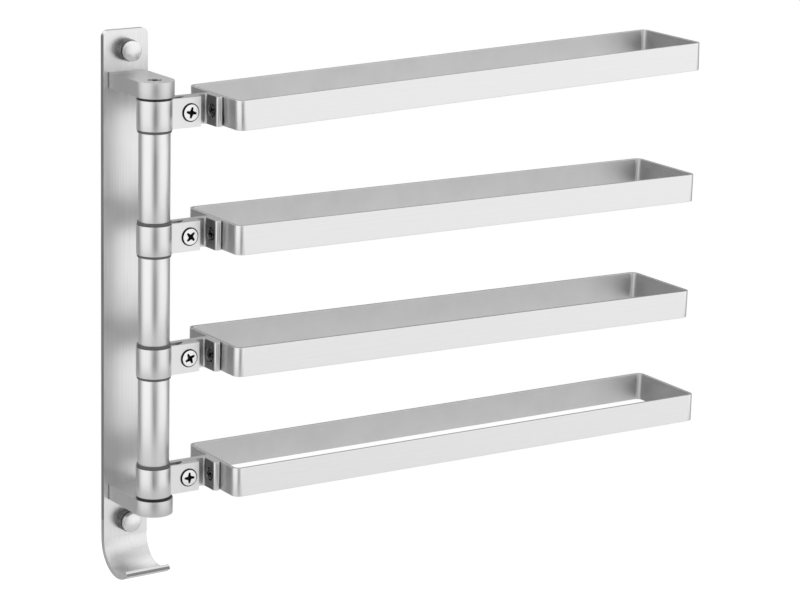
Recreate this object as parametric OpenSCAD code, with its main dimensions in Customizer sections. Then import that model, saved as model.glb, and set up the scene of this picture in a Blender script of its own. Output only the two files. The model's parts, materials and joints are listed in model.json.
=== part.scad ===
// Swing arm towel bar: a wall plate with a hook, a post, and four rails that swing on it.
// Millimetres, +Z up, the object faces -Y. The origin lies on the back of the wall plate,
// midway between its two wall holes. Arm 1 is the highest.

/* [Wall plate] */
// Width of the wall plate and of the hook below it
plate_w = 30; // [27:0.5:45]
// Thickness of the wall plate and of the hook
plate_t = 3.5; // [3:0.25:6]
// Rounding of the plate's upper corners and of the corners at the tip of the hook
plate_corner_r = 4; // [1:0.5:8]
// Plate above the upper wall hole
plate_head = 12; // [9:0.5:25]
// Diameter of the two wall holes
hole_d = 5.2; // [4:0.1:6]
// From the upper support's top face up to the upper wall hole
hole_rise = 12.8; // [9:0.2:30]
// From the lower support's underside down to the lower wall hole
hole_drop = 14.8; // [9:0.2:30]

/* [Hook] */
// Straight plate between the lower wall hole and the bend of the hook
hook_drop = 11; // [8:0.5:30]
// Inside radius of the hook
hook_r = 16.5; // [8:0.5:25]
// How far round the hook sweeps, in degrees
hook_sweep = 131; // [95:1:170]

/* [Post] */
// From the face of the plate out to the axis of the post
standoff = 34.5; // [32:0.5:60]
// Diameter of the rod that the arms turn on
rod_d = 16; // [12:0.5:20]
// Wall of the spacer tubes round the rod
tube_wall = 1.45; // [1:0.05:3]
// Height from one swing arm to the next
arm_pitch = 75; // [45:1:120]
// Thickness of the two supports that hold the rod
support_t = 9.5; // [9:0.5:15]
// Metal of a support beyond the radius of the rod
support_rim = 3.75; // [3:0.25:6]

/* [Bushes] */
// Wall of the sleeve of a bush
bush_wall = 1.15; // [0.8:0.05:2]
// Thickness of the flange of a bush
flange_t = 1.6; // [1:0.1:3]
// How far the flange stands out beyond the sleeve
flange_lip = 1; // [0.5:0.1:1.4]
// Gap between the ends of the two sleeves in one collar
sleeve_gap = 0.4; // [0.2:0.1:4]

/* [Swing brackets] */
// Height of the brackets and of the rails
rail_h = 18; // [13:0.5:30]
// Wall of the collar round the bushes
collar_wall = 1.45; // [1.2:0.05:4]
// Length of the front lug beyond the collar
front_lug_l = 17.4; // [16:0.2:25]
// Thickness of the front lug
front_lug_t = 5.8; // [4:0.2:8]
// Thickness of the back lug
back_lug_t = 4.1; // [3:0.1:7]
// Slit between the two lugs
slit = 0.4; // [0.2:0.1:1.5]
// Metal left between the pocket beside the bore and the front of the lug
pocket_skin = 1.4; // [0.8:0.1:2.5]
// How far the pocket's centre lies beyond the collar
pocket_out = 2.5; // [1:0.1:3]
// How far the pocket's centre lies behind the slit
pocket_rise = 1.7; // [0.5:0.1:3]
// Gap between the end of the front lug and the leg
leg_gap = 7.2; // [4:0.1:20]
// Thickness of the leg that carries the rail
leg_t = 4.5; // [4:0.1:8]
// How far the leg reaches in front of the slit
leg_reach = 12.5; // [11:0.5:20]
// Rounding of the leg's free end
leg_end_r = 2.2; // [0.5:0.1:2.2]
// Fillet between the leg and the back lug
crease_r = 1.2; // [0.4:0.1:1.6]

/* [Towel rails] */
// Length of a rail
rail_l = 350; // [200:10:600]
// Width of a rail from its front to its back
rail_w = 60; // [45:1:72]
// Thickness of the strip that a rail is bent from
rail_t = 2; // [1.5:0.1:3]
// Outside radius of the corners of a rail
rail_corner_r = 5; // [3.5:0.5:12]

/* [Clamp screws and rail nuts] */
// Thread diameter of a clamp screw
clamp_screw_d = 5; // [4:0.5:5]
// Diameter of the head of a clamp screw
clamp_head_d = 11.5; // [8:0.5:12]
// Height of the head of a clamp screw
clamp_head_h = 2.5; // [2:0.1:3.5]
// From the end of the front lug back to the clamp screw
clamp_inset = 7.1; // [6:0.1:9]
// From the free end of the leg back to the rail screw
rail_screw_inset = 6.6; // [6:0.1:7]
// Width across the flats of a rail nut
nut_af = 7; // [6:0.5:9]
// Thickness of a rail nut
nut_t = 3.2; // [2:0.1:5]

/* [Countersunk screws] */
// Thread diameter of the countersunk screws
flat_screw_d = 4; // [3:0.5:4]
// Diameter of their heads
flat_head_d = 8; // [7:0.25:8.5]
// Length of the screws that hold the rod
rod_screw_l = 20; // [17:0.5:30]
// Length of the screws that hold the supports to the plate
support_screw_l = 14; // [10:0.5:24]
// Distance between the two screws of a support
support_screw_gap = 12; // [10:0.5:14]

/* [Screw caps] */
// Diameter of the knurled base
cap_base_d = 13.4; // [12.5:0.1:16]
// Height of the knurled base
cap_base_h = 5.3; // [4:0.1:8]
// Diameter of the cap
cap_d = 12; // [11:0.1:15]
// Height of the cap's rim
cap_rim_h = 3; // [1:0.1:5]
// Height of the cap's dome above its rim
cap_dome_h = 1; // [0.5:0.1:3]
// Diameter of the plug that holds the cap in its base
cap_plug_d = 9; // [8:0.1:9.5]
// How much wider, all round, the base's hole is than the plate's
cap_hole_gap = 0.3; // [0.2:0.05:0.5]

/* [Set of the arms] */
// Swing of each arm out from the wall, in degrees
arm_swing = [0, 0, 0, 1.6]; // [0:0.1:90]
// Lean of each rail out of level, free end up, in degrees
rail_lean = [1.4, -0.6, -1.2, -0.1]; // [-1.5:0.1:1.5]

/* [Hidden] */

$fn = 96;
arms = [1:4];
spacers = [1:3];
ends = [1, -1];

// Clearances, all measured on the radius or on one side
run_fit = 0.05;
seat_fit = 0.02;
end_play = 0.1;
screw_fit = 0.05;
sink_fit = 0.25;
loose_fit = 0.25;
nut_fit = 0.15;
// One overrun serves every cut
overrun = 1;

// Small sizes of the fasteners
flat_land = 0.3;
head_sink = 0.2;
tip_gap = 1;
clamp_tip_back = 0.3;
screw_tail = 0.8;
cross_w_share = 0.13;
cross_l_share = 0.56;
cross_depth_share = 0.6;
pan_rim_share = 0.35;
// How far each screw was turned when it came tight
clamp_turn = [10, 45, 28, 10];
rail_screw_turn = [20, 5, 35, 15];

// Small sizes of the screw caps
cap_floor = 1.5;
cap_neck_h = 0.5;
cap_neck_in = 0.6;
cap_plug_wall = 1;
cap_plug_gap = 0.5;
knurl_teeth = 36;
knurl_depth = 0.4;

// The post, from its axis outwards
rod_r = rod_d / 2;
bore_r = rod_r + run_fit;
tube_r = bore_r + tube_wall;
bush_r = bore_r + bush_wall;
collar_bore_r = bush_r + seat_fit;
collar_r = collar_bore_r + collar_wall;
support_r = rod_r + support_rim;
post_y = -plate_t - standoff;

hook_out_r = hook_r + plate_t;

// The stack of arms, from one support to the other
arm_count = 4;
half_collar = rail_h / 2 + flange_t + end_play;
stack_h = arm_pitch * (arm_count - 1);
stack_mid = (hole_drop - hole_rise) / 2;
top_face = stack_mid + stack_h / 2 + half_collar;
bottom_face = stack_mid - stack_h / 2 - half_collar;
hole_top = top_face + support_t + hole_rise;
hole_bottom = bottom_face - support_t - hole_drop;
plate_top = hole_top + plate_head;
bend_z = hole_bottom - hook_drop;
function arm_z(i) = stack_mid + stack_h / 2 - arm_pitch * (i - 1);

// A swing bracket, in its own frame: x along the arm, y towards the wall
lug_front = -slit / 2 - front_lug_t;
lug_back = slit / 2 + back_lug_t;
lug_end = collar_r + front_lug_l;
bracket_l = lug_end + leg_gap + leg_t;
leg_face = bracket_l - leg_t;
leg_r = min(leg_end_r, leg_t / 2);
pocket_x = collar_r + pocket_out;
pocket_r = pocket_rise - lug_front - pocket_skin;
clamp_x = lug_end - clamp_inset;
rail_screw_y = -leg_reach + rail_screw_inset;
rail_screw_l = leg_t - head_sink + rail_t + nut_t + screw_tail;

// Places that several sub-parts share

module on_arm(i) {
    translate([0, post_y, arm_z(i)]) rotate([0, 0, -arm_swing[i - 1]]) children();
}

// A leaning rail tips about the edge of its end wall that stays against the leg
module on_rail(i) {
    lean = rail_lean[i - 1];
    edge = sign(lean) * rail_h / 2;
    on_arm(i) translate([bracket_l, 0, edge]) rotate([0, -lean, 0]) translate([0, 0, -edge]) children();
}

// In the frame of an arm, head away from the rail
module at_rail_screw() {
    translate([leg_face + head_sink, rail_screw_y, 0]) rotate([0, -90, 0]) children();
}

module at_hole(z) {
    translate([0, -plate_t, z]) rotate([90, 0, 0]) children();
}

module at_support_screws(z) {
    for (side = ends) {
        translate([side * support_screw_gap / 2, -head_sink, z]) rotate([-90, 0, 0]) children();
    }
}

// Upright at the top of the post, upside down at its foot
module at_rod_end(end) {
    face = end > 0 ? top_face : bottom_face;
    translate([0, post_y, face]) mirror([0, 0, end > 0 ? 0 : 1]) translate([0, 0, support_t - head_sink]) {
        children();
    }
}

// Shapes that repeat

module cross_recess(head_d, depth) {
    for (turn = [0, 90]) {
        rotate([0, 0, turn]) translate([-head_d * cross_l_share / 2, -head_d * cross_w_share / 2, -depth]) {
            cube([head_d * cross_l_share, head_d * cross_w_share, depth + overrun]);
        }
    }
}

// Head upwards, its flat underside at z = 0
module pan_screw(d, head_d, head_h, l) {
    rim_h = head_h * pan_rim_share;
    dome_h = head_h - rim_h;
    dome_r = (pow(head_d / 2, 2) + pow(dome_h, 2)) / (2 * dome_h);
    difference() {
        union() {
            translate([0, 0, -l]) cylinder(d = d, h = l);
            cylinder(d = head_d, h = rim_h);
            intersection() {
                translate([0, 0, head_h - dome_r]) sphere(r = dome_r);
                translate([0, 0, rim_h]) cylinder(d = head_d + overrun, h = head_h);
            }
        }
        translate([0, 0, head_h]) cross_recess(head_d, head_h * cross_depth_share);
    }
}

// Head upwards, its flat face at z = 0; shank_fit and head_fit widen it into the hole for it
module flat_screw_body(l, shank_fit, head_fit, above) {
    cone_h = (flat_head_d - flat_screw_d) / 2;
    translate([0, 0, -flat_land]) cylinder(d = flat_head_d + 2 * head_fit, h = flat_land + above);
    translate([0, 0, -flat_land - cone_h]) {
        cylinder(d1 = flat_screw_d + 2 * shank_fit, d2 = flat_head_d + 2 * head_fit, h = cone_h);
    }
    translate([0, 0, -l]) cylinder(d = flat_screw_d + 2 * shank_fit, h = l - flat_land);
}

module flat_screw(l) {
    difference() {
        flat_screw_body(l, 0, 0, 0);
        cross_recess(flat_head_d, (flat_head_d - flat_screw_d) / 2 * cross_depth_share);
    }
}

module flat_screw_hole(l) {
    flat_screw_body(l + tip_gap, screw_fit, sink_fit, head_sink + overrun);
}

module ring(r_out, r_in, h) {
    difference() {
        cylinder(r = r_out, h = h);
        translate([0, 0, -overrun]) cylinder(r = r_in, h = h + 2 * overrun);
    }
}

module rounded_rect(l, w, r) {
    translate([r, 0]) square([l - 2 * r, w]);
    translate([0, r]) square([l, w - 2 * r]);
    for (x = [r, l - r], y = [r, w - r]) {
        translate([x, y]) circle(r = r);
    }
}

// Wall plate, with the hook bent up from its foot

module side_outline() {
    far = 2 * hook_out_r;
    translate([-plate_t, bend_z]) square([plate_t, plate_top - bend_z]);
    translate([-hook_out_r, bend_z]) intersection() {
        difference() {
            circle(r = hook_out_r);
            circle(r = hook_r);
        }
        polygon([[0, 0], [far, 0], [far, -far], [0, -far], 2 * far * [cos(hook_sweep), -sin(hook_sweep)]]);
    }
}

module front_outline() {
    foot = bend_z - hook_out_r - overrun;
    square_top = plate_top - plate_corner_r;
    translate([-plate_w / 2, foot]) square([plate_w, square_top - foot]);
    translate([-plate_w / 2 + plate_corner_r, foot]) {
        square([plate_w - 2 * plate_corner_r, plate_top - foot]);
    }
    for (side = ends) {
        translate([side * (plate_w / 2 - plate_corner_r), square_top]) circle(r = plate_corner_r);
    }
}

module tip_corners() {
    translate([0, -hook_out_r, bend_z]) rotate([-hook_sweep, 0, 0]) translate([0, hook_out_r + overrun, 0]) {
        rotate([90, 0, 0]) linear_extrude(plate_t + 2 * overrun) for (side = [0, 1]) {
            mirror([side, 0]) translate([plate_w / 2 - plate_corner_r, 0]) difference() {
                translate([0, -overrun]) square([plate_corner_r + overrun, plate_corner_r + overrun]);
                translate([0, plate_corner_r]) circle(r = plate_corner_r);
            }
        }
    }
}

module wall_plate() {
    color("silver") difference() {
        intersection() {
            translate([-plate_w / 2, 0, 0]) rotate([90, 0, 90]) linear_extrude(plate_w) side_outline();
            translate([0, overrun, 0]) rotate([90, 0, 0]) {
                linear_extrude(2 * (hook_out_r + overrun)) front_outline();
            }
        }
        tip_corners();
        for (z = [hole_top, hole_bottom]) {
            at_hole(z) translate([0, 0, -plate_t - overrun]) cylinder(d = hole_d, h = plate_t + 2 * overrun);
        }
        at_support_screws(top_face + support_t / 2) flat_screw_hole(support_screw_l);
        at_support_screws(bottom_face - support_t / 2) flat_screw_hole(support_screw_l);
    }
}

// Supports, round at the post and square at the plate

module support(z) {
    translate([0, post_y, z]) linear_extrude(support_t) {
        circle(r = support_r);
        translate([-support_r, 0]) square([2 * support_r, standoff]);
    }
}

module upper_support() {
    color("silver") difference() {
        support(top_face);
        at_rod_end(1) flat_screw_hole(rod_screw_l);
        at_support_screws(top_face + support_t / 2) flat_screw_hole(support_screw_l);
    }
}

module lower_support() {
    color("silver") difference() {
        support(bottom_face - support_t);
        at_rod_end(-1) flat_screw_hole(rod_screw_l);
        at_support_screws(bottom_face - support_t / 2) flat_screw_hole(support_screw_l);
    }
}

module support_screws(z) {
    color("gainsboro") at_support_screws(z) flat_screw(support_screw_l);
}

// Post: a rod from support to support, with a tube over it between each two arms

module pivot_rod() {
    color("lightgray") difference() {
        translate([0, post_y, bottom_face]) cylinder(r = rod_r, h = top_face - bottom_face);
        for (end = ends) {
            at_rod_end(end) flat_screw_hole(rod_screw_l);
        }
    }
}

module rod_screw(end) {
    color("gainsboro") at_rod_end(end) flat_screw(rod_screw_l);
}

module spacer_tube(i) {
    color("silver") translate([0, post_y, arm_z(i + 1) + half_collar]) {
        ring(tube_r, bore_r, arm_pitch - 2 * half_collar);
    }
}

// Screw caps over the wall screws

module cap_base(z) {
    tooth_angle = 180 / knurl_teeth;
    knurled = [for (k = [0:2 * knurl_teeth - 1])
        (cap_base_d / 2 - knurl_depth * (k % 2)) * [cos(k * tooth_angle), sin(k * tooth_angle)]];
    color("gray") at_hole(z) difference() {
        linear_extrude(cap_base_h) polygon(knurled);
        translate([0, 0, -overrun]) cylinder(d = hole_d + 2 * cap_hole_gap, h = cap_floor + 2 * overrun);
        translate([0, 0, cap_floor]) cylinder(d = cap_plug_d + 2 * screw_fit, h = cap_base_h);
    }
}

module screw_cap(z) {
    plug_l = cap_base_h - cap_floor - cap_plug_gap;
    dome_r = (pow(cap_d / 2, 2) + pow(cap_dome_h, 2)) / (2 * cap_dome_h);
    rim_top = cap_neck_h + cap_rim_h;
    color("lightgray") at_hole(z) translate([0, 0, cap_base_h]) {
        translate([0, 0, -plug_l]) ring(cap_plug_d / 2, cap_plug_d / 2 - cap_plug_wall, plug_l);
        cylinder(d = cap_d - 2 * cap_neck_in, h = cap_neck_h);
        translate([0, 0, cap_neck_h]) cylinder(d = cap_d, h = cap_rim_h);
        intersection() {
            translate([0, 0, rim_top + cap_dome_h - dome_r]) sphere(r = dome_r);
            translate([0, 0, rim_top]) cylinder(d = cap_d + overrun, h = cap_dome_h + overrun);
        }
    }
}

// Swing bracket: one extrusion with a split collar, two lugs and a leg

module leg_outline() {
    translate([leg_face, -leg_reach + leg_r]) square([leg_t, leg_reach - leg_r + lug_back]);
    translate([leg_face + leg_r, -leg_reach]) square([leg_t - 2 * leg_r, leg_reach]);
    for (x = [leg_face + leg_r, bracket_l - leg_r]) {
        translate([x, -leg_reach + leg_r]) circle(r = leg_r);
    }
}

module crease_fillet() {
    translate([leg_face - crease_r, slit / 2 - crease_r]) difference() {
        square([crease_r, crease_r]);
        circle(r = crease_r);
    }
}

module bracket_outline() {
    difference() {
        union() {
            circle(r = collar_r);
            translate([0, lug_front]) square([lug_end, front_lug_t]);
            translate([0, slit / 2]) square([bracket_l, back_lug_t]);
            leg_outline();
            crease_fillet();
        }
        circle(r = collar_bore_r);
        translate([0, -slit / 2]) square([lug_end, slit]);
        intersection() {
            translate([pocket_x, pocket_rise]) circle(r = pocket_r);
            translate([0, lug_front]) square([lug_end, front_lug_t + slit]);
        }
    }
}

module swing_bracket(i) {
    clamp_hole_l = front_lug_t + slit + back_lug_t + 2 * overrun;
    color("silver") on_arm(i) difference() {
        translate([0, 0, -rail_h / 2]) linear_extrude(rail_h) bracket_outline();
        translate([clamp_x, lug_back + overrun, 0]) rotate([90, 0, 0]) {
            cylinder(d = clamp_screw_d + 2 * screw_fit, h = clamp_hole_l);
        }
        at_rail_screw() flat_screw_hole(rail_screw_l);
    }
}

module pivot_bush() {
    translate([0, 0, rail_h / 2]) ring(bush_r + flange_lip, bore_r, flange_t);
    translate([0, 0, sleeve_gap / 2]) ring(bush_r, bore_r, (rail_h - sleeve_gap) / 2);
}

module pivot_bushes(i) {
    color("dimgray") on_arm(i) {
        pivot_bush();
        mirror([0, 0, 1]) pivot_bush();
    }
}

module clamp_screw(i) {
    shank_l = front_lug_t + slit + back_lug_t - clamp_tip_back;
    color("gainsboro") on_arm(i) translate([clamp_x, lug_front, 0]) {
        rotate([90, 0, 0]) rotate([0, 0, clamp_turn[i - 1]]) {
            pan_screw(clamp_screw_d, clamp_head_d, clamp_head_h, shank_l);
        }
    }
}

module rail_screw(i) {
    color("gray") on_arm(i) at_rail_screw() rotate([0, 0, rail_screw_turn[i - 1]]) flat_screw(rail_screw_l);
}

// Towel rail: a flat strip bent into a closed, upright loop

module towel_rail(i) {
    color("silver") on_rail(i) difference() {
        translate([0, -rail_w / 2, -rail_h / 2]) linear_extrude(rail_h) difference() {
            rounded_rect(rail_l, rail_w, rail_corner_r);
            translate([rail_t, rail_t]) {
                rounded_rect(rail_l - 2 * rail_t, rail_w - 2 * rail_t, rail_corner_r - rail_t);
            }
        }
        translate([-overrun, rail_screw_y, 0]) rotate([0, 90, 0]) {
            cylinder(d = flat_screw_d + 2 * loose_fit, h = rail_t + 2 * overrun);
        }
    }
}

module rail_nut(i) {
    color("gray") on_rail(i) translate([rail_t, rail_screw_y, 0]) rotate([0, 90, 0]) difference() {
        cylinder(r = nut_af / sqrt(3), h = nut_t, $fn = 6);
        translate([0, 0, -overrun]) cylinder(d = flat_screw_d + 2 * nut_fit, h = nut_t + 2 * overrun);
    }
}

wall_plate();
upper_support();
lower_support();
support_screws(top_face + support_t / 2);  // support_screws_upper
support_screws(bottom_face - support_t / 2);  // support_screws_lower
pivot_rod();
rod_screw(1);  // rod_screw_upper
rod_screw(-1);  // rod_screw_lower
cap_base(hole_top);  // cap_base_upper
cap_base(hole_bottom);  // cap_base_lower
screw_cap(hole_top);  // screw_cap_upper
screw_cap(hole_bottom);  // screw_cap_lower
for (i = spacers) {
    spacer_tube(i);
}
for (i = arms) {
    swing_bracket(i);
    pivot_bushes(i);
    clamp_screw(i);
    rail_screw(i);
    rail_nut(i);
    towel_rail(i);
}
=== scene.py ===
import json
import math

import bmesh
import bpy
from mathutils import Matrix, Vector


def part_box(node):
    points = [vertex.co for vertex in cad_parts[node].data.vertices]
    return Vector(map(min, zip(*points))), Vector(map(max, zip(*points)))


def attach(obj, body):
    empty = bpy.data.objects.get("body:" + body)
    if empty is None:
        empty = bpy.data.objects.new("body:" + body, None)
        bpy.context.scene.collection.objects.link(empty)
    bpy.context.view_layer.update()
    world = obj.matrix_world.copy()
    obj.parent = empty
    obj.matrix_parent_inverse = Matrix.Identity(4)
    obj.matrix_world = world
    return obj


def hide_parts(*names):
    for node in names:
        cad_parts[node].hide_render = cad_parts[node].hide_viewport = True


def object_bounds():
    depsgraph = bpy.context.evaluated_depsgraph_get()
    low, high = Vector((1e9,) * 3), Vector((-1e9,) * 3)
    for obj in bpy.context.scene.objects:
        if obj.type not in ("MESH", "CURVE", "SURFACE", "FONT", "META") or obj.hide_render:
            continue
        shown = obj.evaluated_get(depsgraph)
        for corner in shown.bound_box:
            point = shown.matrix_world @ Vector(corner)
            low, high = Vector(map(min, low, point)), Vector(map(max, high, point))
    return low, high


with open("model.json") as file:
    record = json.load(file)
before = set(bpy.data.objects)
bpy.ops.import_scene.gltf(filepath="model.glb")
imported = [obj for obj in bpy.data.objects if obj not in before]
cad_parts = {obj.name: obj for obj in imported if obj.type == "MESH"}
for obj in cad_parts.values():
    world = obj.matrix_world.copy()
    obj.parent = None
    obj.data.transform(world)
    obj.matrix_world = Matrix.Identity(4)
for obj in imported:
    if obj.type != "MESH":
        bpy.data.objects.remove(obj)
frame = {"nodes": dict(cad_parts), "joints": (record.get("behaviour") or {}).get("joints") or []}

MM = 0.001
NODES = frame["nodes"]
CAD_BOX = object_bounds()
ARMS = (1, 2, 3, 4)

# Places and sizes of the screws in millimetres, as in the CAD apart from the clamp screws' lower and narrower
# heads. The clamp screws stand on the front lugs, x along the arm and y towards the wall; the countersunk
# ones lie in the legs and in the ends of the post. Each turn is that of a cross in degrees, from the top arm
# down.
CLAMP_HEAD_AT = (20.97, -6.0)
CLAMP_HEAD_D = 11.2
CLAMP_HEAD_H = 1.2
CLAMP_SHANK_D = 5.0
CLAMP_SHANK_L = 10.0
CLAMP_TURN = (-12, 45, 28, -2)
RAIL_HEAD_AT = (35.47, -5.9)
RAIL_SCREW_L = 10.3
RAIL_SCREW_TURN = (20, 5, 35, 15)
ROD_SCREW_L = 20.0
ROD_SCREW_TURN = 30
ROD_HEAD_SINK = 0.2
FLAT_HEAD_D = 8.0
FLAT_SHANK_D = 4.0
FLAT_LAND = 0.3

# A clamp screw's head, in millimetres: a crowned face with an edge round it, a chamfer painted dark as shade
# down to the rim, and a rounding at the rim and at its foot. The drops are taken from the top of the head.
CLAMP_FACE_R = 4.75
CLAMP_FACE_STEPS = 6
CLAMP_FACE_CROWN = 0.15
CLAMP_EDGE_W = 0.15
CLAMP_EDGE_DROP = 0.30
CLAMP_CHAMFER_DROP = 0.65
CLAMP_RIM_DROP = 0.80
CLAMP_RIM_ROUND = 0.15
CLAMP_FOOT_ROUND = 0.20

# A countersunk head, in millimetres: the flat face ends inside a small step and a chamfer painted dark as
# shade
FLAT_FACE_IN = 0.70
FLAT_STEP = 0.05
FLAT_CHAMFER_DROP = 0.22

# The driver's crosses, in millimetres: how far they reach, the half width of a wing, and the depth
CLAMP_CROSS = (3.5, 0.95, 1.3)
FLAT_CROSS = (2.1, 0.65, 1.2)
CUT_ABOVE = 0.6
# Shares of a wing's half width where two wings meet and at a wing's tip, and of the whole cross at its floor
WING_ROOT_SHARES = (1.35, 0.95)
WING_TIP_SHARE = 0.62
CROSS_FLOOR_SHARE = 0.45

# Threads, drawn as rings, in millimetres
THREAD_PITCH = 0.7
THREAD_DEPTH = 0.3
THREAD_START = 0.5
THREAD_TIP = 0.4

# Edge rounding that each kind of piece has from its making
SAWN_EDGE = 0.55 * MM
BAR_EDGE = 0.50 * MM
STRIP_EDGE = 0.30 * MM
PROFILE_EDGE = 0.16 * MM
SMALL_EDGE = 0.12 * MM
CAP_EDGE = 0.6 * MM

# How fine the meshes are: the sides of a turned piece, the steps of a rounded edge, the angles in degrees
# from which an edge is rounded or stays sharp, and the gap that a weld closes
TURNED_SIDES = 72
EDGE_STEPS = 2
EDGE_ANGLE = 35
SHARP_ANGLE = 30
WELD_GAP = 0.002 * MM

# Camera: the viewing angle, roll and lens of the photograph, in degrees, metres and pixels
VIEW_AZIMUTH = -34.45
VIEW_ELEVATION = 14.47
VIEW_ROLL = 1.40
VIEW_DISTANCE = 1.890
VIEW_TARGET = (0.1776, -0.038, -0.0214)
IMAGE_WIDTH_PX = 800
FOCAL_LENGTH_PX = 3002
SENSOR_WIDTH = 36
CLIP_END = 30

# Floor, in metres and sRGB: the paper as it is, and as the metal sees it, which keeps the undersides grey
FLOOR_DROP = 0.45
FLOOR_RADIUS = 1.3
FLOOR_SIDES = 96
FLOOR_PAPER = "F2F2F2"
FLOOR_FOR_METAL = "D4D4D4"
FLOOR_GLOW = 0.45

# Grey levels that the metal sees round it, by the angle from -X towards -Y in degrees
STUDIO_BANDS = (
    (-180, 0.48), (-165, 0.34), (-122, 0.34), (-100, 0.72), (-82, 0.62), (-66, 0.20), (-50, 0.28),
    (-34, 0.78), (-16, 1.12), (34, 1.14), (47, 0.82), (57, 0.18), (72, 0.17), (90, 0.75), (105, 1.10),
    (150, 1.11), (167, 0.80), (179, 0.50),
)
# The soft light overhead begins and fills the view at these heights of the unit sphere
OVERHEAD_FROM = 0.16
OVERHEAD_FULL = 0.48
OVERHEAD_LEVEL = 1.15
# Below these heights the studio darkens towards its floor
LOWER_FROM = -0.30
LOWER_FULL = -0.85
LOWER_LEVEL = 0.70
# Level of the light that falls on what isn't metal
ROOM_LEVEL = 0.75

# The middle of a rail's loop in plan, and the height above which a bush's flange bears on a support and is
# painted black as shade, in metres
LOOP_MIDDLE = (0.215, -0.038, 0)
FLANGE_SHADE_FROM = 0.1204

# Noise as the materials use it: nearly all its values lie between the first two
NOISE_LOW = 0.3
NOISE_HIGH = 0.7
NOISE_ROUGHNESS = 0.6
GRAIN_DETAIL = 3.0
CLOUD_DETAIL = 2.0
# Distance between the slow changes that handling leaves on a metal, in millimetres
CLOUD_SPACING = 22.0
# How much the grain and the handling change a metal's roughness, up and down
GRAIN_SPREAD = 0.04
WEAR_SPREAD = 0.02
# A colour changes where the grain lies between these values
GRAIN_MIDDLE = (0.25, 0.75)
EVEN = (1, 1, 1)

LEFT = (-1, 0, 0)
RIGHT = (1, 0, 0)
WALLWARD = (0, 1, 0)
UP = (0, 0, 1)
DOWN = (0, 0, -1)
# An axis and a least place along it that every point of a piece passes
ANYWHERE = ((0, 0, 0), -1)
# The hook's end: the way it looks, the direction down across it, and the place of its middle along that
HOOK_END = (0, -0.755, 0.656)
HOOK_END_DOWN = (0, -0.656, -0.755)
HOOK_END_MIDDLE = 0.1502
# Where the plate's straight sides, its top, the seam at a support, a leg and the ends of a rail begin,
# in metres along the axis that their entries give
STRAIGHT_FROM = -0.145
PLATE_TOP_FROM = 0.15
SEAM_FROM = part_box("upper_support")[1].y - 0.0009
LEG_FROM = 0.030
FAR_INSIDE_FROM = 0.36
FAR_OUTSIDE_FROM = 0.38
NEAR_OUTSIDE_FROM = -0.045
# Faces painted darker than the rest of their piece, as painted shade: the way they look, an axis, the least
# place along it in metres, and the share of the colour that is left. The plate's sides and top are sawn, and
# so are supports, brackets and strip above and below; these faces, the seam between support and plate, the
# legs beside the screws, the underside of the hook's end and the ends of the loops are painted darker as
# shade.
PLATE_PAINTED_SHADE = (
    (LEFT, *ANYWHERE, 0.86), (RIGHT, *ANYWHERE, 0.86),
    (LEFT, UP, STRAIGHT_FROM, 0.64), (RIGHT, UP, STRAIGHT_FROM, 0.64),
    (UP, UP, PLATE_TOP_FROM, 0.55), (HOOK_END, HOOK_END_DOWN, HOOK_END_MIDDLE, 0.32),
)
SUPPORT_PAINTED_SHADE = (
    (UP, *ANYWHERE, 0.80), (DOWN, *ANYWHERE, 0.80),
    (LEFT, WALLWARD, SEAM_FROM, 0.36), (RIGHT, WALLWARD, SEAM_FROM, 0.36),
)
BRACKET_PAINTED_SHADE = ((LEFT, RIGHT, LEG_FROM, 0.32), (UP, *ANYWHERE, 0.60), (DOWN, *ANYWHERE, 0.60))
STRIP_PAINTED_SHADE = (
    (LEFT, RIGHT, FAR_INSIDE_FROM, 0.74), (LEFT, LEFT, NEAR_OUTSIDE_FROM, 0.82),
    (RIGHT, RIGHT, FAR_OUTSIDE_FROM, 0.82), (UP, *ANYWHERE, 0.42), (DOWN, *ANYWHERE, 0.42),
)
# A face counts as looking one way from the first cosine on, and wholly from the second
LOOKS_FROM = 0.85
LOOKS_FULL = 0.97
# Bending dulls the plate's lines: between these heights its roughness rises by the third value
HOOK_BEND = (-0.156, -0.168, 0.09)


def srgb(text):
    """The linear colour of an sRGB hex value such as B0B0B0."""
    channels = [int(text[k:k + 2], 16) / 255 for k in (0, 2, 4)]
    return tuple(c / 12.92 if c <= 0.04045 else ((c + 0.055) / 1.055) ** 2.4 for c in channels) + (1.0,)


def add(tree, kind, values=None, links=None, stops=(), **settings):
    """Adds a node, sets its properties, sockets and colour stops, and links sockets to other nodes."""
    made = tree.nodes.new(kind)
    for name, value in settings.items():
        setattr(made, name, value)
    for name, value in (values or {}).items():
        made.inputs[name].default_value = value
    for name, source in (links or {}).items():
        tree.links.new(source, made.inputs[name])
    if stops:
        elements = made.color_ramp.elements
        while len(elements) < len(stops):
            elements.new(0.5)
        for element, (position, colour) in zip(elements, stops):
            element.position = position
            element.color = colour
    return made


def new_material(name):
    """An empty material, its tree, and the object's own coordinates in metres."""
    material = bpy.data.materials.new(name)
    material.use_nodes = True
    tree = material.node_tree
    tree.nodes.clear()
    place = add(tree, "ShaderNodeTexCoord").outputs["Object"]
    return material, tree, place


def finish_material(tree, shader):
    """Leads the shader to the material's surface."""
    add(tree, "ShaderNodeOutputMaterial", links={"Surface": shader.outputs[0]})


def grain(tree, place, spacing_mm, stretch, detail=GRAIN_DETAIL):
    """Noise whose cells are spacing_mm apart, drawn out along the axes where stretch is small."""
    per_metre = 1 / (spacing_mm * MM)
    scale = [per_metre * s for s in stretch]
    scaled = add(tree, "ShaderNodeMapping", {"Scale": scale}, {"Vector": place})
    return add(tree, "ShaderNodeTexNoise", {"Scale": 1.0, "Detail": detail, "Roughness": NOISE_ROUGHNESS},
               {"Vector": scaled.outputs[0]}).outputs["Fac"]


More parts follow.
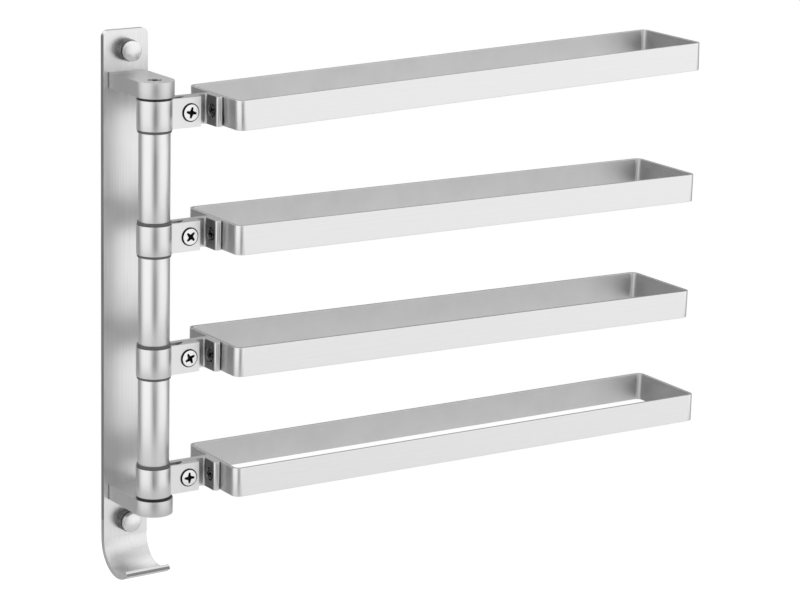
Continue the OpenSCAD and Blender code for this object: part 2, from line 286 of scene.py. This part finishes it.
def painted_face_shade(tree, place, colour, faces):
    """The colour, with the given share of it on the given faces, as painted shade."""
    normal = add(tree, "ShaderNodeTexCoord").outputs["Normal"]
    for looks, along, least, share in faces:
        turned = add(tree, "ShaderNodeVectorMath", {1: looks}, {0: normal}, operation="DOT_PRODUCT")
        flat = add(tree, "ShaderNodeMapRange", {"From Min": LOOKS_FROM, "From Max": LOOKS_FULL},
                   {"Value": turned.outputs["Value"]})
        reach = add(tree, "ShaderNodeVectorMath", {1: along}, {0: place}, operation="DOT_PRODUCT")
        beyond = add(tree, "ShaderNodeMath", {1: least}, {0: reach.outputs["Value"]},
                     operation="GREATER_THAN")
        here = add(tree, "ShaderNodeMath", {}, {0: flat.outputs[0], 1: beyond.outputs[0]},
                   operation="MULTIPLY")
        shade_colour = add(tree, "ShaderNodeVectorMath", {"Scale": share}, {0: colour}, operation="SCALE")
        mixed = add(tree, "ShaderNodeMix", {}, {0: here.outputs[0], 6: colour, 7: shade_colour.outputs[0]},
                    data_type="RGBA")
        colour = mixed.outputs[2]
    return colour


def metal(name, dark, light, roughness, grain_mm, stretch, bump_mm, between=GRAIN_MIDDLE, shaded_faces=(),
          bend=None):
    """A bare or anodised metal: grain in its colour, shine and bump, and slow changes of shine from handling.
    The colour goes from dark to light where the grain lies between the two given values."""
    material, tree, place = new_material(name)
    lines = grain(tree, place, grain_mm, stretch)
    clouds = grain(tree, place, CLOUD_SPACING, EVEN, CLOUD_DETAIL)
    colour = add(tree, "ShaderNodeValToRGB", links={"Fac": lines},
                 stops=list(zip(between, (srgb(dark), srgb(light)))))
    worn = add(tree, "ShaderNodeMapRange",
               {"From Min": NOISE_LOW, "From Max": NOISE_HIGH, "To Min": -WEAR_SPREAD, "To Max": WEAR_SPREAD},
               {"Value": clouds})
    fine = add(tree, "ShaderNodeMapRange",
               {"From Min": NOISE_LOW, "From Max": NOISE_HIGH, "To Min": roughness - GRAIN_SPREAD,
                "To Max": roughness + GRAIN_SPREAD}, {"Value": lines})
    rough = add(tree, "ShaderNodeMath", {}, {0: fine.outputs[0], 1: worn.outputs[0]}, operation="ADD")
    if bend:
        bent_from, bent_full, rougher = bend
        height = add(tree, "ShaderNodeSeparateXYZ", links={0: place}).outputs["Z"]
        bent = add(tree, "ShaderNodeMapRange",
                   {"From Min": bent_from, "From Max": bent_full, "To Max": rougher}, {"Value": height})
        rough = add(tree, "ShaderNodeMath", {}, {0: rough.outputs[0], 1: bent.outputs[0]}, operation="ADD")
    bump = add(tree, "ShaderNodeBump", {"Strength": 1.0, "Distance": bump_mm * MM}, {"Height": lines})
    # Painted shade: the listed faces get a darker share of the colour
    base = painted_face_shade(tree, place, colour.outputs[0], shaded_faces)
    shader = add(tree, "ShaderNodeBsdfPrincipled", {"Metallic": 1.0},
                 {"Base Color": base, "Roughness": rough.outputs[0], "Normal": bump.outputs[0]})
    finish_material(tree, shader)
    return material


def brushed_strip():
    """Aluminium strip bent to a loop: brushed lengthwise on its outer side, rougher inside and painted a
    darker grey there as shade.
    Inside, a face looks towards the middle of the loop, so its place and its direction point opposite ways.
    The lines blur what the strip mirrors up and down, and leave it clear along the strip."""
    # The product of place and direction, in metres, at which a face begins to be inside and wholly is
    inside_from, inside_full = -0.008, -0.016
    line_spacing_mm, line_stretch, line_depth_mm = 0.9, (0.02, 0.3, 1), 0.001
    brushed_roughness, inside_roughness = (0.30, 0.37), 0.40
    material, tree, place = new_material("aluminium_strip_brushed")
    normal = add(tree, "ShaderNodeTexCoord").outputs["Normal"]
    flat = add(tree, "ShaderNodeVectorMath", {1: (1, 1, 0)}, {0: normal}, operation="MULTIPLY")
    from_middle = add(tree, "ShaderNodeVectorMath", {1: LOOP_MIDDLE}, {0: place}, operation="SUBTRACT")
    outward = add(tree, "ShaderNodeVectorMath", {}, {0: from_middle.outputs[0], 1: flat.outputs[0]},
                  operation="DOT_PRODUCT")
    inside = add(tree, "ShaderNodeMapRange", {"From Min": inside_from, "From Max": inside_full},
                 {"Value": outward.outputs["Value"]})
    lines = grain(tree, place, line_spacing_mm, line_stretch)
    clouds = grain(tree, place, CLOUD_SPACING, EVEN, CLOUD_DETAIL)
    brushed = add(tree, "ShaderNodeValToRGB", links={"Fac": lines},
                  stops=list(zip(GRAIN_MIDDLE, (srgb("E5E5E5"), srgb("EAEAEA")))))
    # Painted shade: the inside of the loop is painted a darker grey than the outside
    inside_painted_shade = add(tree, "ShaderNodeValToRGB", links={"Fac": clouds},
                 stops=list(zip(GRAIN_MIDDLE, (srgb("CFCFCF"), srgb("D7D7D7")))))
    colour = add(tree, "ShaderNodeMix", {},
                 {0: inside.outputs[0], 6: brushed.outputs[0], 7: inside_painted_shade.outputs[0]}, data_type="RGBA")
    shine = add(tree, "ShaderNodeMapRange",
                {"From Min": NOISE_LOW, "From Max": NOISE_HIGH, "To Min": brushed_roughness[0],
                 "To Max": brushed_roughness[1]}, {"Value": lines})
    rough = add(tree, "ShaderNodeMix", {3: inside_roughness}, {0: inside.outputs[0], 2: shine.outputs[0]})
    bump = add(tree, "ShaderNodeBump", {"Strength": 1.0, "Distance": line_depth_mm * MM}, {"Height": lines})
    # Across the lines. The slight lean keeps a direction where a face looks straight up.
    across = add(tree, "ShaderNodeCombineXYZ", {"X": 0.01, "Y": 0.01, "Z": 1.0})
    base = painted_face_shade(tree, place, colour.outputs[2], STRIP_PAINTED_SHADE)
    shader = add(tree, "ShaderNodeBsdfPrincipled", {"Metallic": 1.0, "Anisotropic": 0.85},
                 {"Base Color": base, "Roughness": rough.outputs[0], "Normal": bump.outputs[0],
                  "Tangent": across.outputs[0]})
    finish_material(tree, shader)
    return material


def moulded_nylon():
    """Grey nylon bushes: a dull sheen with a mould's fine grain, painted near black as shade where they bear
    on the supports."""
    pit_spacing_mm, pit_depth_mm = 0.5, 0.03
    clear_roughness, dull_roughness = 0.42, 0.55
    material, tree, place = new_material("nylon_moulded")
    pits = grain(tree, place, pit_spacing_mm, EVEN)
    bare = add(tree, "ShaderNodeValToRGB", links={"Fac": pits},
               stops=((NOISE_LOW, srgb("484848")), (NOISE_HIGH, srgb("585858"))))
    # Painted shade: the flanges that bear on the supports are painted near black
    flange_painted_shade = add(tree, "ShaderNodeValToRGB", links={"Fac": pits},
                  stops=((NOISE_LOW, srgb("0C0C0C")), (NOISE_HIGH, srgb("181818"))))
    split = add(tree, "ShaderNodeSeparateXYZ", links={0: place})
    height = add(tree, "ShaderNodeMath", {}, {0: split.outputs["Z"]}, operation="ABSOLUTE")
    outer = add(tree, "ShaderNodeMath", {1: FLANGE_SHADE_FROM}, {0: height.outputs[0]}, operation="GREATER_THAN")
    colour = add(tree, "ShaderNodeMix", {},
                 {0: outer.outputs[0], 6: bare.outputs[0], 7: flange_painted_shade.outputs[0]}, data_type="RGBA")
    dull = add(tree, "ShaderNodeMapRange",
               {"From Min": NOISE_LOW, "From Max": NOISE_HIGH, "To Min": clear_roughness,
                "To Max": dull_roughness}, {"Value": pits})
    bump = add(tree, "ShaderNodeBump", {"Strength": 0.6, "Distance": pit_depth_mm * MM}, {"Height": pits})
    shader = add(tree, "ShaderNodeBsdfPrincipled", {"IOR": 1.53},
                 {"Base Color": colour.outputs[2], "Roughness": dull.outputs[0], "Normal": bump.outputs[0]})
    finish_material(tree, shader)
    return material


# Real brush lines and grain lie about 0.1 mm apart. All grain here is drawn 0.5 to 1.2 mm apart so that it
# shows.

# Rolled flat bar, brushed upright: fine vertical lines and a broad soft shine
BRUSHED_PLATE = metal("aluminium_brushed_upright", dark="E1E1E1", light="F0F0F0", roughness=0.35,
                      grain_mm=0.9, stretch=(1, 1, 0.02), bump_mm=0.002, shaded_faces=PLATE_PAINTED_SHADE,
                      bend=HOOK_BEND)
# Drawn tube, satin anodised: crisp upright bands of light on a surface with hardly any grain
DRAWN_TUBE = metal("aluminium_satin_anodised", dark="E6E6E6", light="EAEAEA", roughness=0.33,
                   grain_mm=0.9, stretch=(1, 1, 0.03), bump_mm=0.001)
# Extruded profile, satin anodised: faint die lines run along the extrusion, upright on the arms
EXTRUDED = metal("aluminium_extruded_satin", dark="DEDEDE", light="E4E4E4", roughness=0.32,
                 grain_mm=0.9, stretch=(1, 1, 0.04), bump_mm=0.0004, shaded_faces=BRACKET_PAINTED_SHADE)
# Pale even rails with fine lines along them, and a flatter grey painted inside their loops as shade
BRUSHED_STRIP = brushed_strip()
# Sawn and tumbled bar, duller than the extrusions
TUMBLED_BAR = metal("aluminium_tumbled_bar", dark="D2D2D2", light="DADADA", roughness=0.42,
                    grain_mm=0.9, stretch=EVEN, bump_mm=0.002, shaded_faces=SUPPORT_PAINTED_SHADE)
# Zinc-plated steel of the nuts, clamp screws and support screws: bright, with a fine mottle
PLATED_STEEL = metal("steel_zinc_plated", dark="E6E6E6", light="F2F2F2", roughness=0.28,
                     grain_mm=0.6, stretch=EVEN, bump_mm=0.002)
# Painted shade: the driver's hollow and the chamfer round a head are painted near black
RECESS_PAINTED_SHADE = metal("steel_recess_painted_shade", dark="141414", light="242424", roughness=0.55,
                    grain_mm=0.6, stretch=EVEN, bump_mm=0.004)
# Black-oxide steel of the countersunk screws, dark, with bright flecks painted in as glints
BLACK_OXIDE_AND_GLINTS = metal("steel_black_oxide_painted_glints", dark="3A3A3A", light="DADADA", roughness=0.30,
                    grain_mm=1.1, stretch=EVEN, bump_mm=0.003, between=(0.52, 0.62))
# Turned and knurled steel bases, left dark, so that they stand out between plate and cap
KNURLED_STEEL = metal("steel_knurled", dark="6C6C6C", light="9C9C9C", roughness=0.20,
                      grain_mm=0.6, stretch=EVEN, bump_mm=0.004)
# Satin-chromed caps: a soft mirror
SATIN_CHROME = metal("chrome_satin", dark="E6E6E6", light="EEEEEE", roughness=0.30,
                     grain_mm=1.2, stretch=EVEN, bump_mm=0.001)
# Ground steel of the hidden rod: a clear shine with short fine lines along it
GROUND_ROD = metal("steel_ground_rod", dark="AFAFAF", light="BFBFBF", roughness=0.22,
                   grain_mm=0.5, stretch=(1, 1, 0.2), bump_mm=0.002)
NYLON = moulded_nylon()


def dress(name, material, edge):
    """Gives a CAD node its material and the small rounding of its edges."""
    piece = NODES[name]
    piece.data.materials.clear()
    piece.data.materials.append(material)
    weld = piece.modifiers.new("weld", "WELD")
    weld.merge_threshold = WELD_GAP
    if edge:
        bevel = piece.modifiers.new("edge", "BEVEL")
        bevel.width = edge
        bevel.segments = EDGE_STEPS
        bevel.limit_method = "ANGLE"
        bevel.angle_limit = math.radians(EDGE_ANGLE)


dress("wall_plate", BRUSHED_PLATE, SAWN_EDGE)
dress("upper_support", TUMBLED_BAR, BAR_EDGE)
dress("lower_support", TUMBLED_BAR, BAR_EDGE)
dress("pivot_rod", GROUND_ROD, SMALL_EDGE)
for end in ("upper", "lower"):
    dress(f"support_screws_{end}", PLATED_STEEL, SMALL_EDGE)
    dress(f"cap_base_{end}", KNURLED_STEEL, 0)
    dress(f"screw_cap_{end}", SATIN_CHROME, CAP_EDGE)
for i in ARMS[:3]:
    dress(f"spacer_tube_{i}", DRAWN_TUBE, SMALL_EDGE)
for i in ARMS:
    dress(f"swing_bracket_{i}", EXTRUDED, PROFILE_EDGE)
    dress(f"pivot_bushes_{i}", NYLON, SMALL_EDGE)
    dress(f"rail_nut_{i}", PLATED_STEEL, SMALL_EDGE)
    dress(f"towel_rail_{i}", BRUSHED_STRIP, STRIP_EDGE)


def turned_mesh(name, profile, slots):
    """A closed turned part about Z from (radius, height, material slot) points in millimetres, top to
    bottom."""
    shape = bmesh.new()
    rings = []
    for radius, height, _ in profile:
        if radius == 0:
            rings.append([shape.verts.new((0, 0, height * MM))])
        else:
            angles = [k * math.tau / TURNED_SIDES for k in range(TURNED_SIDES)]
            rings.append([shape.verts.new((radius * MM * math.cos(a), radius * MM * math.sin(a), height * MM))
                          for a in angles])
    for (upper, lower), (_, _, slot) in zip(zip(rings, rings[1:]), profile[1:]):
        for k in range(TURNED_SIDES):
            n = (k + 1) % TURNED_SIDES
            if len(upper) == 1:
                corners = [upper[0], lower[k], lower[n]]
            elif len(lower) == 1:
                corners = [upper[n], upper[k], lower[0]]
            else:
                corners = [upper[n], upper[k], lower[k], lower[n]]
            shape.faces.new(corners).material_index = slot
    bmesh.ops.recalc_face_normals(shape, faces=shape.faces)
    mesh = bpy.data.meshes.new(name)
    shape.to_mesh(mesh)
    shape.free()
    for material in slots:
        mesh.materials.append(material)
    return mesh


def cross_cutter(reach, wing, depth, surface):
    """The hollow for a cross-head driver, cut from a surface at that height, all in material slot 1."""
    shape = bmesh.new()
    loops = []
    slope = (1 - CROSS_FLOOR_SHARE) / depth
    root_along, root_across = WING_ROOT_SHARES
    outline = ((wing * root_along, wing * root_across), (reach, wing * WING_TIP_SHARE),
               (reach, -wing * WING_TIP_SHARE))
    above = (surface + CUT_ABOVE, 1 + CUT_ABOVE * slope)
    for height, share in (above, (surface - depth, CROSS_FLOOR_SHARE)):
        ring = []
        for quarter in range(4):
            cosine, sine = math.cos(quarter * math.pi / 2), math.sin(quarter * math.pi / 2)
            for along, across in outline:
                x, y = along * share, -across * share
                ring.append(shape.verts.new(((x * cosine - y * sine) * MM, (x * sine + y * cosine) * MM,
                                             height * MM)))
        loops.append(ring)
    upper, lower = loops
    count = len(upper)
    for k in range(count):
        shape.faces.new((upper[k], upper[(k + 1) % count], lower[(k + 1) % count], lower[k]))
    shape.faces.new(upper)
    shape.faces.new(list(reversed(lower)))
    bmesh.ops.recalc_face_normals(shape, faces=shape.faces)
    for face in shape.faces:
        face.material_index = 1
    mesh = bpy.data.meshes.new("cross_cutter")
    shape.to_mesh(mesh)
    shape.free()
    return mesh


def cut_recess(mesh, cutter_mesh):
    """The turned screw with the driver's hollow cut into its head."""
    body = bpy.data.objects.new("screw_blank", mesh)
    cutter = bpy.data.objects.new("screw_cutter", cutter_mesh)
    for material in mesh.materials:
        cutter_mesh.materials.append(material)
    for thing in (body, cutter):
        bpy.context.scene.collection.objects.link(thing)
    cut = body.modifiers.new("recess", "BOOLEAN")
    cut.object = cutter
    cut.operation = "DIFFERENCE"
    cut.solver = "EXACT"
    bpy.context.view_layer.update()
    done = bpy.data.meshes.new_from_object(body.evaluated_get(bpy.context.evaluated_depsgraph_get()))
    for thing in (body, cutter):
        bpy.data.objects.remove(thing)
    done.polygons.foreach_set("use_smooth", [True] * len(done.polygons))
    done.set_sharp_from_angle(angle=math.radians(SHARP_ANGLE))
    return done


def thread(radius, top, bottom):
    """Profile points of a thread drawn as rings, from top down to bottom, where it narrows to its tip."""
    points = []
    height = top
    while height - THREAD_PITCH > bottom + THREAD_TIP:
        points += [(radius, height, 0), (radius - THREAD_DEPTH, height - THREAD_PITCH / 2, 0)]
        height -= THREAD_PITCH
    return points + [(radius, height, 0), (radius - THREAD_TIP, bottom, 0), (0, bottom, 0)]


def clamp_screw_mesh():
    """Clamp screw: a low bright face with a cross, inside a broad chamfer; cross and chamfer are painted dark
    as shade.
    """
    r, h, shank = CLAMP_HEAD_D / 2, CLAMP_HEAD_H, CLAMP_SHANK_D / 2
    shares = [k / CLAMP_FACE_STEPS for k in range(CLAMP_FACE_STEPS + 1)]
    face = [(CLAMP_FACE_R * share, h - CLAMP_FACE_CROWN * share ** 2, 0) for share in shares]
    edge = [(CLAMP_FACE_R + CLAMP_EDGE_W, h - CLAMP_EDGE_DROP, 0)]
    rim = [(r - CLAMP_RIM_ROUND, h - CLAMP_CHAMFER_DROP, 1), (r, h - CLAMP_RIM_DROP, 1),
           (r, CLAMP_FOOT_ROUND, 1), (r - CLAMP_FOOT_ROUND, 0, 1), (shank, 0, 1)]
    blank = turned_mesh("clamp_screw", face + edge + rim + thread(shank, -THREAD_START, -CLAMP_SHANK_L),
                        (PLATED_STEEL, RECESS_PAINTED_SHADE))
    return cut_recess(blank, cross_cutter(*CLAMP_CROSS, h))


def flat_screw_mesh(length):
    """Countersunk screw, its flat face at z = 0, with a cross and a fine chamfer, both painted dark as shade.
    """
    r, shank = FLAT_HEAD_D / 2, FLAT_SHANK_D / 2
    face_r = r - FLAT_FACE_IN
    neck = -FLAT_LAND - (r - shank)
    head = [(0, 0, 0), (r / 2, 0, 0), (face_r, 0, 0), (face_r + FLAT_STEP, -FLAT_STEP, 1),
            (r, -FLAT_CHAMFER_DROP, 1), (r, -FLAT_LAND, 1), (shank, neck, 1)]
    blank = turned_mesh("flat_screw", head + thread(shank, neck - THREAD_START, -length),
                        (BLACK_OXIDE_AND_GLINTS, RECESS_PAINTED_SHADE))
    return cut_recess(blank, cross_cutter(*FLAT_CROSS, 0))


def put_screw(name, mesh, place, body):
    """Stands in for the plain CAD screw of the same name."""
    screw = bpy.data.objects.new("made_" + name, mesh)
    bpy.context.scene.collection.objects.link(screw)
    screw.matrix_world = place
    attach(screw, body)
    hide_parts(name)


def spot(x, y, z, tip, turn):
    """The place of a screw whose head points along the turned Z axis, in millimetres and degrees."""
    return Matrix.Translation((x * MM, y * MM, z * MM)) @ tip @ Matrix.Rotation(math.radians(turn), 4, "Z")


TO_FRONT = Matrix.Rotation(math.radians(90), 4, "X")
TO_LEFT = Matrix.Rotation(math.radians(-90), 4, "Y")
UPRIGHT = Matrix.Identity(4)
UPSIDE_DOWN = Matrix.Rotation(math.radians(180), 4, "X")
clamp_mesh = clamp_screw_mesh()
rail_screw_mesh = flat_screw_mesh(RAIL_SCREW_L)
rod_screw_mesh = flat_screw_mesh(ROD_SCREW_L)
for i, joint in zip(ARMS, frame["joints"]):
    # At its lower limit an arm lies along the wall, so the limit also says how far it is turned at rest
    arm = Matrix.Translation(joint["pos_m"]) @ Matrix.Rotation(math.radians(joint["range_deg"][0]), 4, "Z")
    put_screw(f"clamp_screw_{i}", clamp_mesh, arm @ spot(*CLAMP_HEAD_AT, 0, TO_FRONT, CLAMP_TURN[i - 1]),
              f"arm_{i}")
    put_screw(f"rail_screw_{i}", rail_screw_mesh,
              arm @ spot(*RAIL_HEAD_AT, 0, TO_LEFT, RAIL_SCREW_TURN[i - 1]), f"arm_{i}")
post_y = frame["joints"][0]["pos_m"][1] / MM
put_screw("rod_screw_upper", rod_screw_mesh,
          spot(0, post_y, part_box("upper_support")[1].z / MM - ROD_HEAD_SINK, UPRIGHT, ROD_SCREW_TURN),
          "root")
put_screw("rod_screw_lower", rod_screw_mesh,
          spot(0, post_y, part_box("lower_support")[0].z / MM + ROD_HEAD_SINK, UPSIDE_DOWN, ROD_SCREW_TURN),
          "root")


def make_camera():
    """The photograph's view, with its slight roll."""
    a, e, r = (math.radians(v) for v in (VIEW_AZIMUTH, VIEW_ELEVATION, VIEW_ROLL))
    back = Vector((math.sin(a) * math.cos(e), -math.cos(a) * math.cos(e), math.sin(e)))
    level_right = Vector((math.cos(a), math.sin(a), 0))
    level_up = back.cross(level_right)
    right = math.cos(r) * level_right + math.sin(r) * level_up
    up = back.cross(right)
    data = bpy.data.cameras.new("camera")
    data.sensor_width = SENSOR_WIDTH
    data.lens = SENSOR_WIDTH * FOCAL_LENGTH_PX / IMAGE_WIDTH_PX
    data.clip_end = CLIP_END
    camera = bpy.data.objects.new("camera", data)
    bpy.context.scene.collection.objects.link(camera)
    turn = Matrix((right, up, back)).transposed().to_4x4()
    camera.matrix_world = Matrix.Translation(Vector(VIEW_TARGET) + back * VIEW_DISTANCE) @ turn
    bpy.context.scene.camera = camera


def seen_rays(tree):
    """Two outputs: 1 for rays from the camera, and 1 for rays that metal and glass send on."""
    path = add(tree, "ShaderNodeLightPath")
    shiny = add(tree, "ShaderNodeMath", {},
                {0: path.outputs["Is Glossy Ray"], 1: path.outputs["Is Transmission Ray"]},
                operation="MAXIMUM")
    return path.outputs["Is Camera Ray"], shiny.outputs[0]


def make_world():
    """White behind the object, and for the metal a studio of soft bands: bright at the left and at the front
    right with a dark gap between them, dimmer behind."""
    world = bpy.data.worlds.new("studio")
    bpy.context.scene.world = world
    world.use_nodes = True
    tree = world.node_tree
    tree.nodes.clear()
    direction = add(tree, "ShaderNodeTexCoord").outputs["Generated"]
    split = add(tree, "ShaderNodeSeparateXYZ", links={0: direction})
    flip_x = add(tree, "ShaderNodeMath", {1: -1.0}, {0: split.outputs["X"]}, operation="MULTIPLY")
    flip_y = add(tree, "ShaderNodeMath", {1: -1.0}, {0: split.outputs["Y"]}, operation="MULTIPLY")
    angle = add(tree, "ShaderNodeMath", {}, {0: flip_y.outputs[0], 1: flip_x.outputs[0]},
                operation="ARCTAN2")
    turn = add(tree, "ShaderNodeMath", {1: 1 / math.tau, 2: 0.5}, {0: angle.outputs[0]},
               operation="MULTIPLY_ADD")
    bands = add(tree, "ShaderNodeValToRGB", links={"Fac": turn.outputs[0]},
                stops=[(d / 360 + 0.5, (v, v, v, 1)) for d, v in STUDIO_BANDS]).outputs[0]
    overhead = add(tree, "ShaderNodeMapRange", {"From Min": OVERHEAD_FROM, "From Max": OVERHEAD_FULL},
                   {"Value": split.outputs["Z"]}, interpolation_type="SMOOTHSTEP")
    lower = add(tree, "ShaderNodeMapRange",
                {"From Min": LOWER_FULL, "From Max": LOWER_FROM, "To Min": LOWER_LEVEL},
                {"Value": split.outputs["Z"]}, interpolation_type="SMOOTHSTEP")
    sides = add(tree, "ShaderNodeVectorMath", {}, {0: bands, "Scale": lower.outputs[0]}, operation="SCALE")
    top = (OVERHEAD_LEVEL,) * 3 + (1,)
    studio = add(tree, "ShaderNodeMix", {7: top}, {0: overhead.outputs[0], 6: sides.outputs[0]},
                 data_type="RGBA")
    seen, shiny = seen_rays(tree)
    room = (ROOM_LEVEL,) * 3 + (1,)
    for_matt = add(tree, "ShaderNodeMix", {6: room}, {0: shiny, 7: studio.outputs[2]}, data_type="RGBA")
    colour = add(tree, "ShaderNodeMix", {7: (1, 1, 1, 1)}, {0: seen, 6: for_matt.outputs[2]},
                 data_type="RGBA")
    light = add(tree, "ShaderNodeBackground", {"Strength": 1.0}, {"Color": colour.outputs[2]})
    add(tree, "ShaderNodeOutputWorld", links={"Surface": light.outputs[0]})


def make_floor():
    """A pale round floor below the object. It keeps the shadow and melts into the white behind."""
    bpy.ops.mesh.primitive_circle_add(vertices=FLOOR_SIDES, radius=FLOOR_RADIUS, fill_type="NGON",
                                      location=(VIEW_TARGET[0], 0, CAD_BOX[0].z - FLOOR_DROP))
    floor = bpy.context.object
    floor.name = "floor"
    material, tree, _ = new_material("paper_matt_white")
    matt = add(tree, "ShaderNodeBsdfDiffuse", {"Color": srgb(FLOOR_PAPER)})
    glow = add(tree, "ShaderNodeEmission", {"Color": (1, 1, 1, 1), "Strength": FLOOR_GLOW})
    both = add(tree, "ShaderNodeAddShader", links={0: matt.outputs[0], 1: glow.outputs[0]})
    dim = add(tree, "ShaderNodeBsdfDiffuse", {"Color": srgb(FLOOR_FOR_METAL)})
    seen, shiny = seen_rays(tree)
    for_metal = add(tree, "ShaderNodeMixShader", links={0: shiny, 1: matt.outputs[0], 2: dim.outputs[0]})
    mix = add(tree, "ShaderNodeMixShader", links={0: seen, 1: for_metal.outputs[0], 2: both.outputs[0]})
    finish_material(tree, mix)
    floor.data.materials.append(material)


def make_lamp(name, place, size, watts):
    """A softbox that faces the middle of the object. The metal sees the studio's bands in its stead."""
    data = bpy.data.lights.new(name, "AREA")
    data.shape = "DISK"
    data.size = size
    data.energy = watts
    lamp = bpy.data.objects.new(name, data)
    lamp.location = place
    lamp.rotation_mode = "QUATERNION"
    lamp.rotation_quaternion = (Vector(place) - Vector(VIEW_TARGET)).to_track_quat("Z", "Y")
    lamp.visible_glossy = False
    bpy.context.scene.collection.objects.link(lamp)


make_camera()
make_world()
make_floor()
make_lamp("key", place=(-1.2, -1.1, 1.2), size=0.8, watts=14)
make_lamp("fill", place=(1.6, -1.5, 0.8), size=1.0, watts=10)
bpy.context.scene.view_settings.view_transform = "Standard"
